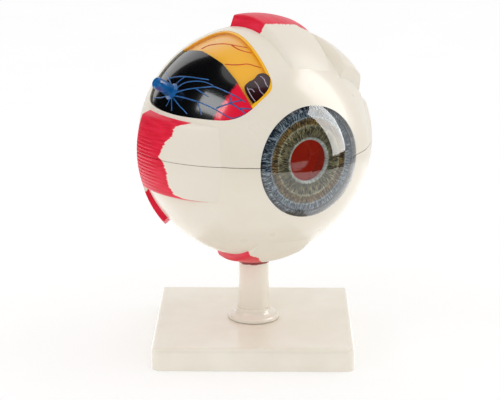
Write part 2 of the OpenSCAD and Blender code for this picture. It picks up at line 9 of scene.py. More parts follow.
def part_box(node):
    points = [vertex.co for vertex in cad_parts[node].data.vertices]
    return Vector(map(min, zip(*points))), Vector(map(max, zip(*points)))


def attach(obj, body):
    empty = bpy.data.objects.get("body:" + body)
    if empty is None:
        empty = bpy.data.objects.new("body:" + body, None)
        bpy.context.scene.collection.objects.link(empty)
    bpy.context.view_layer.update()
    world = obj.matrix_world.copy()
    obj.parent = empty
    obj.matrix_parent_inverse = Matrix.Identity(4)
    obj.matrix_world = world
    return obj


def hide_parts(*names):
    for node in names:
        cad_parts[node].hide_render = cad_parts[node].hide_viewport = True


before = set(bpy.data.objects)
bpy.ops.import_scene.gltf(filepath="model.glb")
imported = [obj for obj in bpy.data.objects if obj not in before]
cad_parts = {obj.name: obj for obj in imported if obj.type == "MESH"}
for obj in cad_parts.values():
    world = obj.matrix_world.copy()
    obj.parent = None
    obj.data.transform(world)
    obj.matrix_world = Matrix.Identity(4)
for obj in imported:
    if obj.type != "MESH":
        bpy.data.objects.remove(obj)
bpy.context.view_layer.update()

bl_info = {
    "name": "Eye anatomy model",
    "version": (1, 0, 0),
    "blender": (4, 5, 0),
    "location": "3D View > Sidebar > Eye model",
    "description": "Dresses the take-apart eye model and sets up its studio",
    "category": "Object",
}

MM = 0.001


# ---- where things are -------------------------------------------------------------------


def globe_centre_and_radius():
    """The middle and the outer radius of the sclera, from its two halves."""
    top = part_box("sclera_upper")[1].z
    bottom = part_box("sclera_lower")[0].z
    return Vector((0, 0, (top + bottom) / 2)), (top - bottom) / 2


def gaze_angle():
    """How far the gaze is turned from -Y, from the place of the lens."""
    low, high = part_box("lens")
    middle = (low + high) / 2
    return math.atan2(middle.x, -middle.y)


CENTRE, GLOBE_R = globe_centre_and_radius()
GAZE = gaze_angle()
# Places on the globe in degrees: longitude from the gaze round the temple's side, latitude
LATERAL_MUSCLE = ((99, 0), (46, 0))
MEDIAL_MUSCLE = ((-101, 0), (-50, 0))
TOP_MUSCLE = ((-145, 75.3), (-15, 45))
TOP_STRAP = ((-47, 33.5), (-113, 64))
LOW_MUSCLE = ((153, -85), (5, -46))
LOW_STRAP = ((112, -42), (124, -8))
WINDOW = (66, 46)
# Where the red of each muscle ends: millimetres across it and from its cut
LATERAL_EDGE = (
    (-16.5, 28), (-13.8, 21.9), (-10.3, 22), (-7.5, 19.7), (-3.6, 18), (-1, 17), (0.6, 19.2),
    (4.8, 20.5), (7.7, 20), (10.8, 20.5), (13.8, 21.5), (14.9, 25), (15.7, 37), (17.5, 40),
)
MEDIAL_EDGE = ((-17, 20), (-8, 18), (0, 19), (8, 18), (17, 20))
TOP_EDGE = (
    (-18, 20), (-8, 24), (-5, 23.5), (-4, 21.5), (1.9, 22.4), (12.1, 20.2), (14.6, 17.1),
    (18.5, 8.3),
)
LOW_EDGE = ((-20, 16), (-17, 21), (-15, 25.7), (-8, 25), (-2, 18), (2, 10), (8, 2), (20, 0))
STRAP_EDGE = ((-12, 14), (0, 13), (12, 15))
# Millimetres that a full 1 stands for in the colour ramp of such an edge
EDGE_SCALE = 64
# Millimetres by which the brush stopped unevenly at that edge
RAGGED = 1.6
# Bundles of muscle fibres, in millimetres: their width, and how far they run from the cut
FIBRE_PITCH = 1.5
FLESH_LENGTH = 18
# Muscles, in millimetres: thickness at the cut, width, and the widths of the sloped sides
SIDE_SIZES = (3.2, 32, (2.5, 2.5))
TOP_SIZES = (4.6, 25, (9, 3))
TOP_STRAP_SIZES = (3.8, 17, (4, 4))
LOW_SIZES = (3.4, 27, (3, 3))
# Lean of the top strap's cut end, and the radius in millimetres of the hole for the post
TOP_STRAP_LEAN = math.radians(48)
POST_HOLE = 6.7
# A muscle is spun from before its cut end until past its tendon, and sits in the globe
SPIN_STEPS = 56
SPIN_BEFORE = math.radians(8)
SPIN_PAST = math.radians(4)
SEAT_DEPTH = 0.15 * MM
# Points along one sloped side of a muscle's section, and along its back
SIDE_STEPS = 8
BACK_STEPS = 16
# Depth of the painted fields of the window under the surface of the globe
RETINA_DEPTH = 1.4 * MM
CHOROID_DEPTH = 0.7 * MM
CILIARY_DEPTH = 0.4 * MM
# Painted lines: width of those on the ciliary field, and how much of it is left at the end
FOLD_WIDTH = 0.4 * MM
FOLD_TAPER = 0.9
VESSEL_TAPER = 0.7
# Edge of the painted shade, in dark red, at the top of the post, in millimetres above the middle of
# the eye
POST_PAINTED_SHADE = (-51.9, -51.5)


def toward(place):
    """Unit vector from the middle of the globe to a place on it."""
    lon, lat = (math.radians(a) for a in place)
    own = Vector((-math.cos(lat) * math.sin(lon), -math.cos(lat) * math.cos(lon), math.sin(lat)))
    return Matrix.Rotation(GAZE, 3, "Z") @ own


def frame_of(z, y):
    """A frame at the middle of the globe with that Z, and Y turned as near as it can be."""
    z = z.normalized()
    y = (y - y.dot(z) * z).normalized()
    turned = Matrix((y.cross(z), y, z)).transposed().to_4x4()
    return Matrix.Translation(CENTRE) @ turned


UP = Vector((0, 0, 1))
GAZE_FRAME = frame_of(toward((0, 0)), UP)
WINDOW_FRAME = frame_of(toward(WINDOW), UP)


def muscle_frame(places):
    """Z out of the globe at the cut end, Y running to the tendon."""
    return frame_of(toward(places[0]), toward(places[1]))


def on_globe(point, radius):
    """A point given in degrees across and up from the middle of the window, at a radius."""
    across, up = (math.sin(math.radians(a)) for a in point)
    out = math.sqrt(1 - across * across - up * up)
    return WINDOW_FRAME @ (Vector((across, up, out)) * radius)


# ---- materials ----------------------------------------------------------------------------


def linear(code):
    """An sRGB hex colour as linear red, green, blue and alpha."""
    parts = (int(code[i : i + 2], 16) / 255 for i in (0, 2, 4))
    return (*(p / 12.92 if p <= 0.04045 else ((p + 0.055) / 1.055) ** 2.4 for p in parts), 1.0)


def ends_first(stop):
    """Order in which a colour ramp takes its stops: both ends, then what lies between."""
    return (stop[0] not in (0.0, 1.0), stop[0])


def add(tree, kind, inputs=None, stops=None, **settings):
    """Adds a node with its settings; an input that is a socket is linked, any other is set.

    stops are those of a colour ramp. It has two from the start, so its ends come first.
    """
    made = tree.nodes.new("ShaderNode" + kind)
    for name, value in settings.items():
        setattr(made, name, value)
    for name, value in (inputs or {}).items():
        if isinstance(value, bpy.types.NodeSocket):
            tree.links.new(value, made.inputs[name])
        else:
            made.inputs[name].default_value = value
    for i, (place, colour) in enumerate(stops or []):
        elements = made.color_ramp.elements
        element = elements[i] if i < 2 else elements.new(place)
        element.position = place
        element.color = colour
    return made


def new_material(name):
    """An empty material and its node tree."""
    material = bpy.data.materials.new(name)
    material.use_nodes = True
    material.node_tree.nodes.clear()
    return material, material.node_tree


def finish_material(material, shader):
    """Ends a material's tree in that shader."""
    add(material.node_tree, "OutputMaterial", {"Surface": shader})
    return material


def place_pattern(tree, placed=None, scale=(1, 1, 1)):
    """Object coordinates seen from a frame, in millimetres times scale."""
    where = add(tree, "TexCoord").outputs["Object"]
    if placed is not None:
        where = add(
            tree,
            "Mapping",
            {"Vector": where, "Location": placed.translation, "Rotation": placed.to_euler()},
            vector_type="TEXTURE",
        ).outputs[0]
    return add(tree, "Mapping", {"Vector": where, "Scale": [s / MM for s in scale]}).outputs[0]


def plastic(tree, colour, roughness, bump=None, coat=0.0, soft=0.0, specular=0.5):
    """The shader of a moulded or painted plastic; colour is a socket or a value."""
    inputs = {
        "Base Color": colour,
        "Roughness": roughness,
        "IOR": 1.5,
        "Coat Weight": coat,
        "Coat Roughness": 0.06,
        "Specular IOR Level": specular,
    }
    if bump is not None:
        inputs["Normal"] = bump
    if soft:
        inputs["Subsurface Weight"] = soft
        inputs["Subsurface Radius"] = (1.0, 0.7, 0.45)
        inputs["Subsurface Scale"] = 1.5 * MM
    return add(tree, "BsdfPrincipled", inputs).outputs[0]


def mix(tree, share, first, second, blend="MIX"):
    """Two colours mixed by a share."""
    return add(
        tree, "MixRGB", {"Fac": share, "Color1": first, "Color2": second}, blend_type=blend
    ).outputs[0]


def span(tree, value, low, high, first=0.0, last=1.0, smooth=True):
    """A value mapped from low..high to first..last."""
    return add(
        tree,
        "MapRange",
        {"Value": value, "From Min": low, "From Max": high, "To Min": first, "To Max": last},
        interpolation_type="SMOOTHSTEP" if smooth else "LINEAR",
    ).outputs[0]


def calculate(tree, operation, a, b=0.0, c=0.0):
    """One step of arithmetic."""
    return add(tree, "Math", {0: a, 1: b, 2: c}, operation=operation).outputs[0]


def noise(tree, vector, detail=2.0, rough=0.5):
    """Noise whose grain is one unit of its vector."""
    inputs = {"Vector": vector, "Scale": 1.0, "Detail": detail, "Roughness": rough}
    return add(tree, "TexNoise", inputs).outputs["Fac"]


def ivory_plastic(name, colour, shade, roughness, coat):
    """ABS, injection moulded: even and glossy, with flow clouding that the eye barely sees."""
    material, tree = new_material(name)
    cloud = noise(tree, place_pattern(tree, scale=(0.05, 0.05, 0.05)), 3.0)
    base = mix(tree, span(tree, cloud, 0.3, 0.7), colour, shade)
    orange_peel = noise(tree, place_pattern(tree, scale=(0.9, 0.9, 0.9)), 2.0)
    gloss = span(tree, cloud, 0.3, 0.7, roughness * 0.9, roughness * 1.15)
    bump = add(
        tree, "Bump", {"Height": orange_peel, "Strength": 0.04, "Distance": 0.1 * MM}
    ).outputs[0]
    return finish_material(material, plastic(tree, base, gloss, bump, coat, 0.12, 0.35))


def muscle_paint(colours, name, places, edge):
    """Crimson lacquer brushed over ivory ABS: streaks along the fibres, a ragged end.

    edge lists where the red ends: millimetres across the muscle, millimetres from its cut.
    """
    material, tree = new_material(name)
    placed = muscle_frame(places)
    across, along, _ = add(
        tree, "SeparateXYZ", {"Vector": place_pattern(tree, placed)}
    ).outputs
    low, high = edge[0][0], edge[-1][0]
    stops = [((x - low) / (high - low), (y / EDGE_SCALE,) * 3 + (1,)) for x, y in edge]
    line = add(
        tree,
        "ValToRGB",
        {"Fac": span(tree, across, low, high, smooth=False)},
        stops=sorted(stops, key=ends_first),
    ).outputs[0]
    ends = calculate(tree, "MULTIPLY", line, EDGE_SCALE)
    bristle = noise(tree, place_pattern(tree, placed, (1.3, 0.05, 0.3)), 4.0, 0.7)
    jag = calculate(tree, "MULTIPLY_ADD", bristle, 2 * RAGGED, along)
    over = calculate(tree, "SUBTRACT", jag, ends)
    bare = span(tree, over, RAGGED - 0.3, RAGGED + 0.3)
    streak = noise(tree, place_pattern(tree, placed, (1.1, 0.05, 0.3)), 3.0, 0.6)
    red = add(
        tree,
        "ValToRGB",
        {"Fac": streak},
        stops=[(0.25, colours.crimson_dark), (0.75, colours.crimson_light), (0.5, colours.crimson)],
    ).outputs[0]
    skin = mix(tree, bare, red, colours.ivory)
    bundle = calculate(tree, "SINE", calculate(tree, "MULTIPLY", across, math.pi / FIBRE_PITCH))
    rib = calculate(tree, "ABSOLUTE", bundle)
    fleshy = span(tree, along, FLESH_LENGTH * 0.6, FLESH_LENGTH, 1.0, 0.0)
    height = calculate(tree, "MULTIPLY", rib, fleshy)
    bump = add(tree, "Bump", {"Height": height, "Strength": 0.7, "Distance": 0.18 * MM}).outputs[0]
    return finish_material(material, plastic(tree, skin, 0.36, bump, 0.0, 0.05, 0.25))


def see_through(tree, tint, roughness):
    """Clear plastic: light goes straight on, and only its outer faces carry glints."""
    fresnel = add(tree, "Fresnel", {"IOR": 1.59}).outputs[0]
    front = calculate(tree, "SUBTRACT", 1.0, add(tree, "NewGeometry").outputs["Backfacing"])
    straight = add(tree, "BsdfTransparent", {"Color": tint}).outputs[0]
    glint = add(tree, "BsdfGlossy", {"Color": (1, 1, 1, 1), "Roughness": roughness}).outputs[0]
    share = calculate(tree, "MULTIPLY", fresnel, front)
    return add(tree, "MixShader", {"Fac": share, 1: straight, 2: glint}).outputs[0]


def clear_plastic(name, tint, roughness):
    """Polystyrene crystal, polished: light goes straight through, lamps show as sharp glints."""
    material, tree = new_material(name)
    clouded = noise(tree, place_pattern(tree, scale=(0.1, 0.1, 0.1)), 2.0)
    colour = mix(tree, clouded, tint, linear("FFFFFF"))
    return finish_material(material, see_through(tree, colour, roughness))


# Rings of the iris print: share of its radius, ground colour, colour of its fine lines
IRIS_RINGS = (
    (0.000, "C9CDC8", "D8DAD6"),
    (0.385, "C9CDC8", "D8DAD6"),
    (0.410, "A9AC9E", "DEDCC8"),
    (0.430, "35322A", "A89E7C"),
    (0.520, "26221C", "B8A878"),
    (0.600, "332E26", "C9BC8C"),
    (0.635, "8A8268", "E0D8B4"),
    (0.655, "332A20", "C9A45C"),
    (0.715, "211B18", "C09048"),
    (0.765, "35322E", "B9A078"),
    (0.785, "8A979E", "D3DBDE"),
    (0.805, "1E2A38", "A9B9C8"),
    (0.870, "22324A", "B5C5D2"),
    (0.950, "1C2A3A", "BAC8D2"),
    (0.985, "12181E", "5A666E"),
    (1.000, "0C1014", "20282E"),
)


def iris_shader(tree, radius):
    """Print of fine radial lines in rings of slate blue, amber, olive and silver."""
    x, y, _ = add(tree, "SeparateXYZ", {"Vector": place_pattern(tree, GAZE_FRAME)}).outputs
    flat = add(tree, "CombineXYZ", {"X": x, "Y": y}).outputs[0]
    out = add(tree, "VectorMath", {0: flat}, operation="LENGTH").outputs["Value"]
    spoke = add(tree, "VectorMath", {0: flat}, operation="NORMALIZE").outputs[0]
    share = calculate(tree, "DIVIDE", out, radius / MM)

    def around(grain, detail, rough, along=0.0):
        """Noise whose grain runs outward; along says how often it changes on the way."""
        scaled = add(tree, "VectorMath", {0: spoke, "Scale": grain}, operation="SCALE").outputs[0]
        outward = add(tree, "CombineXYZ", {"Z": calculate(tree, "MULTIPLY", share, along)})
        where = add(tree, "VectorMath", {0: scaled, 1: outward.outputs[0]}).outputs[0]
        return noise(tree, where, detail, rough)

    wobble = calculate(tree, "MULTIPLY_ADD", around(9.0, 2.0, 0.6), 0.04, share)
    wobble = calculate(tree, "SUBTRACT", wobble, 0.02)
    ground, lines = (
        add(
            tree,
            "ValToRGB",
            {"Fac": wobble},
            stops=sorted(((ring[0], linear(ring[column])) for ring in IRIS_RINGS), key=ends_first),
        ).outputs[0]
        for column in (1, 2)
    )
    lit = span(tree, around(64.0, 2.0, 0.7, 9.0), 0.47, 0.58)
    dark = span(tree, around(40.0, 2.0, 0.7, 16.0), 0.4, 0.58, 0.4, 1.0)
    skin = mix(tree, calculate(tree, "MULTIPLY", lit, 0.85), ground, lines)
    skin = mix(tree, 1.0, skin, dark, "MULTIPLY")
    return plastic(tree, skin, 0.3, None, 0.0, 0.0, 0.3)


def iris_print(name, radius):
    """Printed foil on a plastic disc: the blue-grey eye that looks at the class."""
    material, tree = new_material(name)
    return finish_material(material, iris_shader(tree, radius))


def cornea_plastic(name, radius, rim):
    """Crystal polystyrene dome whose rim, behind the limbus, carries the edge of the print."""
    material, tree = new_material(name)
    z = add(tree, "SeparateXYZ", {"Vector": place_pattern(tree, GAZE_FRAME)}).outputs[2]
    dome = calculate(tree, "GREATER_THAN", z, rim / MM - 0.05)
    clear = see_through(tree, linear("F7F9F9"), 0.02)
    printed = iris_shader(tree, radius)
    return finish_material(
        material, add(tree, "MixShader", {"Fac": dome, 1: printed, 2: clear}).outputs[0]
    )


def choroid_paint(colours, name):
    """Black lacquer with a crimson corner brushed into it, over the window's lower field."""
    lean, reach = -0.28, 5.0
    corner = (17.0, 19.0)
    material, tree = new_material(name)
    where = place_pattern(tree, WINDOW_FRAME)
    x, y, _ = add(tree, "SeparateXYZ", {"Vector": where}).outputs
    brush = noise(tree, place_pattern(tree, WINDOW_FRAME, (0.9, 0.5, 0.6)), 4.0, 0.7)
    slanted = calculate(tree, "MULTIPLY_ADD", y, lean, x)
    ragged = calculate(tree, "MULTIPLY_ADD", brush, reach, slanted)
    crimson = span(tree, ragged, *corner)
    skin = mix(tree, crimson, colours.lampblack, colours.crimson)
    return finish_material(material, plastic(tree, skin, 0.16, None, 0.6))


def retina_paint(colours, name):
    """Yellow lacquer with a peach painted reflection towards the top of the field, brighter on the
    raised lip.
    """
    lean, reach = -0.45, 10.0
    # Band of slanted height over which the peach painted reflection fades in
    thin = (14.0, 30.0)
    lip_foot, lip_top = GLOBE_R / MM - 1.0, GLOBE_R / MM - 0.6
    material, tree = new_material(name)
    where = place_pattern(tree, WINDOW_FRAME)
    x, y, _ = add(tree, "SeparateXYZ", {"Vector": where}).outputs
    out = add(tree, "VectorMath", {0: where}, operation="LENGTH").outputs["Value"]
    cloud = noise(tree, place_pattern(tree, WINDOW_FRAME, (0.08, 0.08, 0.08)), 2.0)
    top = calculate(tree, "MULTIPLY_ADD", x, lean, y)
    # Painted reflection: peach towards the top of the yellow field, with a cloudy edge
    peach_sheen = span(tree, calculate(tree, "MULTIPLY_ADD", cloud, reach, top), *thin)
    field = mix(tree, peach_sheen, colours.yellow, colours.peach_sheen)
    lip = span(tree, out, lip_foot, lip_top)
    skin = mix(tree, lip, field, colours.yellow_lip)
    return finish_material(material, plastic(tree, skin, 0.28, None, 0.1, 0.05, 0.3))


def flat_lacquer(name, colour, shade, grain, roughness, coat=0.2):
    """Lacquer brushed on by hand: two close shades of one colour in soft clouds."""
    material, tree = new_material(name)
    cloud = noise(tree, place_pattern(tree, scale=(1 / grain,) * 3), 3.0)
    skin = mix(tree, span(tree, cloud, 0.35, 0.65), colour, shade)
    return finish_material(material, plastic(tree, skin, roughness, None, coat))


def add_painted_glow(material, glow):
    """Adds a painted glow: an emission that stands in for the light of the room that thin shells
    let through, which a closed eye shows.
    """
    tree = material.node_tree
    surface = tree.nodes["Material Output"].inputs["Surface"]
    lacquer = surface.links[0].from_socket
    light = add(tree, "Emission", {"Color": glow, "Strength": 1.0}).outputs[0]
    both = add(tree, "AddShader", {0: lacquer, 1: light}).outputs[0]
    tree.links.new(both, surface)


def brushed_steel(name):
    """Stainless steel: bright, with a fine grain that blurs its glints."""
    material, tree = new_material(name)
    grain = noise(tree, place_pattern(tree, scale=(6, 6, 6)), 3.0)
    inputs = {
        "Base Color": mix(tree, grain, linear("B9BCBF"), linear("D5D7D9")),
        "Metallic": 1.0,
        "Roughness": span(tree, grain, 0.3, 0.7, 0.24, 0.36),
    }
    return finish_material(material, add(tree, "BsdfPrincipled", inputs).outputs[0])


def dress(material, *nodes):
    """Gives CAD nodes that material."""
    for name in nodes:
        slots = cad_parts[name].data.materials
        slots.clear()
        slots.append(material)


# ---- modelling helpers --------------------------------------------------------------------


def smooth_route(points, steps=3):
    """Route points with a few more between them, on a smooth curve through them."""
    route = []
    ends = [points[0], *points, points[-1]]
    for i in range(len(points) - 1):
        a, b, c, d = (Vector(p) for p in ends[i : i + 4])
        for s in range(steps):
            t = s / steps
            step = (c - a) * t + (2 * a - 5 * b + 4 * c - d) * t * t
            route.append(0.5 * (2 * b + step + (3 * b - a - 3 * c + d) * t**3))
    return [*route, Vector(points[-1])]


def draw_line(points, half_width, taper):
    """A round line drawn point by point as a curve; taper is its width at the far end."""
    bpy.ops.object.select_all(action="DESELECT")
    bpy.ops.curve.primitive_bezier_curve_add(enter_editmode=True)
    bpy.ops.curve.select_all(action="SELECT")
    bpy.ops.curve.delete(type="VERT")
    for point in points:
        bpy.ops.curve.vertex_add(location=point)
    bpy.ops.curve.select_all(action="SELECT")
    bpy.ops.curve.handle_type_set(type="AUTOMATIC")
    bpy.ops.object.mode_set(mode="OBJECT")
    line = bpy.context.object
    line.data.bevel_depth = half_width
    line.data.bevel_resolution = 2
    line.data.resolution_u = 3
    line.data.use_fill_caps = True
    spline = line.data.splines[0]
    for i, point in enumerate(spline.bezier_points):
        point.radius = 1 + (taper - 1) * i / (len(spline.bezier_points) - 1)
    bpy.ops.object.convert(target="MESH")
    return bpy.context.object


def cut_off(point, normal):
    """Cuts away what lies beyond a plane, on its normal's side, and closes the cut."""
    bpy.ops.mesh.select_all(action="SELECT")
    bpy.ops.mesh.bisect(plane_co=point, plane_no=normal, use_fill=True, clear_outer=True)


def join_as(pieces, name, material, body):
    """Joins pieces into one, at the origin, with its material, on its body."""
    bpy.ops.object.select_all(action="DESELECT")
    for piece in pieces:
        piece.select_set(True)
    bpy.context.view_layer.objects.active = pieces[0]
    if len(pieces) > 1:
        bpy.ops.object.join()
    bpy.ops.object.transform_apply(location=True, rotation=True, scale=True)
    bpy.ops.object.mode_set(mode="EDIT")
    bpy.ops.mesh.select_all(action="SELECT")
    bpy.ops.mesh.normals_make_consistent(inside=False)
    bpy.ops.object.mode_set(mode="OBJECT")
    bpy.ops.object.shade_smooth()
    made = bpy.context.object
    made.name = name
    made.data.name = name
    made.data.materials.clear()
    made.data.materials.append(material)
    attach(made, body)
    return made


# ---- settings -----------------------------------------------------------------------------


def colour_property(name, description, code):
    """A colour setting with its default given as sRGB hex."""
    return bpy.props.FloatVectorProperty(
        name=name, description=description, subtype="COLOR", size=4, min=0, max=1,
        default=linear(code),
    )


class EyeColours(bpy.types.PropertyGroup):
    """Colours of the plastics and paints"""

    ivory: colour_property("Ivory", "Moulded shells", "F2EADB")
    ivory_shade: colour_property("Ivory shade", "Flow clouding in the ivory", "EFE6D5")
    stand: colour_property("Stand ivory", "Base and post", "F9F2E5")
    crimson: colour_property("Crimson", "Muscle paint", "EC1238")
    crimson_dark: colour_property("Crimson, thick", "Muscle paint where it pooled", "D40A2C")
    crimson_light: colour_property("Crimson, thin", "Muscle paint where it ran thin", "F23052")
    lampblack: colour_property("Black", "Choroid field", "08090B")
    yellow: colour_property("Yellow", "Retina field", "F9B630")
    # Colour of the painted reflection towards the top of the retina field
    peach_sheen: colour_property("Peach", "Retina field where the paint is thin", "F7C078")
    yellow_lip: colour_property("Lip yellow", "Raised lip of the retina field", "FDBC16")
    maroon: colour_property("Maroon", "Ciliary field", "35060F")
    vein_blue: colour_property("Blue", "Cut vein and its branches", "1466AC")
    artery_red: colour_property("Red", "Arteries on the yellow field", "E03418")


def length_property(name, description, millimetres):
    """A length setting with its default given in millimetres."""
    return bpy.props.FloatProperty(
        name=name, description=description, unit="LENGTH", default=millimetres * MM, min=0,
        precision=5,
    )


class EyeSizes(bpy.types.PropertyGroup):
    """Sizes of the iris and of the painted lines"""

    limbus_radius: length_property("Limbus", "Radius of the opening under the cornea", 22.4)
    iris_back: length_property("Iris back", "From the middle of the eye to the flange", 38.2)
    iris_front: length_property("Iris front", "From the middle of the eye to the print", 41.6)
    iris_wall: length_property("Iris wall", "Thickness of the printed disc", 1.3)
    iris_cup_radius: length_property("Iris disc", "Radius of the raised disc", 20.1)
    iris_flange_radius: length_property("Iris flange", "Radius of the flange at its back", 23.1)
    pupil_radius: length_property("Pupil", "Radius of the hole in the iris", 8.3)
    vein_width: length_property("Vein width", "Width of a painted vein at the hub", 0.62)
    artery_width: length_property("Artery width", "Width of a painted artery", 0.5)


class EyeStudio(bpy.types.PropertyGroup):
    """Camera and lamps"""

    target: bpy.props.FloatVectorProperty(
        name="Target", description="Point that the camera looks at", subtype="TRANSLATION",
        size=3, default=(-1.63 * MM, 0, 60.63 * MM),
    )
    distance: bpy.props.FloatProperty(
        name="Distance", description="From the camera to its target", unit="LENGTH",
        default=729.36 * MM,
    )
    elevation: bpy.props.FloatProperty(
        name="Elevation", description="Height of the camera above the horizon",
        subtype="ANGLE", default=math.radians(15.241),
    )
    azimuth: bpy.props.FloatProperty(
        name="Azimuth", description="Turn of the camera to the right", subtype="ANGLE",
        default=math.radians(0.7535),
    )
    focal_length: bpy.props.FloatProperty(
        name="Focal length", description="Lens of the camera, in millimetres", default=125.7,
    )
    ambient: bpy.props.FloatProperty(
        name="Ambient", description="Light from all round on matt surfaces", default=0.85,
    )
    key: bpy.props.FloatProperty(
        name="Key", description="Power of the softbox on the right, in watts", default=0.5,
    )
    fill: bpy.props.FloatProperty(
        name="Fill", description="Power of the softbox on the left, in watts", default=0.3,
    )
    sheen_right: bpy.props.FloatProperty(
        name="Sheen right", description="Power of the strip mirrored on the right, in watts",
        default=8.3,
    )
    sheen_left: bpy.props.FloatProperty(
        name="Sheen left", description="Power of the strip mirrored on the left, in watts",
        default=1.5,
    )
    table_glow: bpy.props.FloatProperty(
        name="Table", description="Brightness of the table as glossy surfaces mirror it",
        default=1.7,
    )
    floor_lift: bpy.props.FloatProperty(
        name="Floor lift", description="Extra brightness of the floor for the camera",
        default=0.18,
    )


# ---- studio -------------------------------------------------------------------------------


WARM_WHITE = (1.0, 0.985, 0.96)
PLAIN_WHITE = (1.0, 1.0, 1.0)
COOL_WHITE = (0.97, 0.985, 1.0)
FLOOR_SIZE = 6
# Dark of the room round the front: a round screen, cut off at the back, in metres
ROOM_RADIUS = 1.2
ROOM_HEIGHT = 3.0
ROOM_MIDDLE = 1.15
ROOM_REACH = 0.636
ROOM_TURN = math.radians(15)
# Bright table round the stand, just under the floor, in metres
TABLE_RADIUS = 0.29
TABLE_LEVEL = -0.5 * MM


def view_direction(azimuth, elevation):
    """Unit vector out to a viewing angle; azimuth 0 is the front, -Y."""
    return Vector(
        (
            math.sin(azimuth) * math.cos(elevation),
            -math.cos(azimuth) * math.cos(elevation),
            math.sin(elevation),
        )
    )


def add_area_lamp(name, angles, distance, size, power, colour, unseen):
    """A softbox that faces the eye from a viewing angle and leaves one kind of ray alone.

    Angles are azimuth and elevation in degrees, distance and size are in metres.
    """
    out = view_direction(*(math.radians(angle) for angle in angles))
    bpy.ops.object.light_add(type="AREA", location=CENTRE + out * distance)
    lamp = bpy.context.object
    lamp.name = name
    lamp.rotation_euler = out.to_track_quat("Z", "Y").to_euler()
    lamp.data.shape = "RECTANGLE"
    lamp.data.size, lamp.data.size_y = size
    lamp.data.energy = power
    lamp.data.color = colour
    lamp.visible_camera = False
    setattr(lamp, "visible_" + unseen, False)


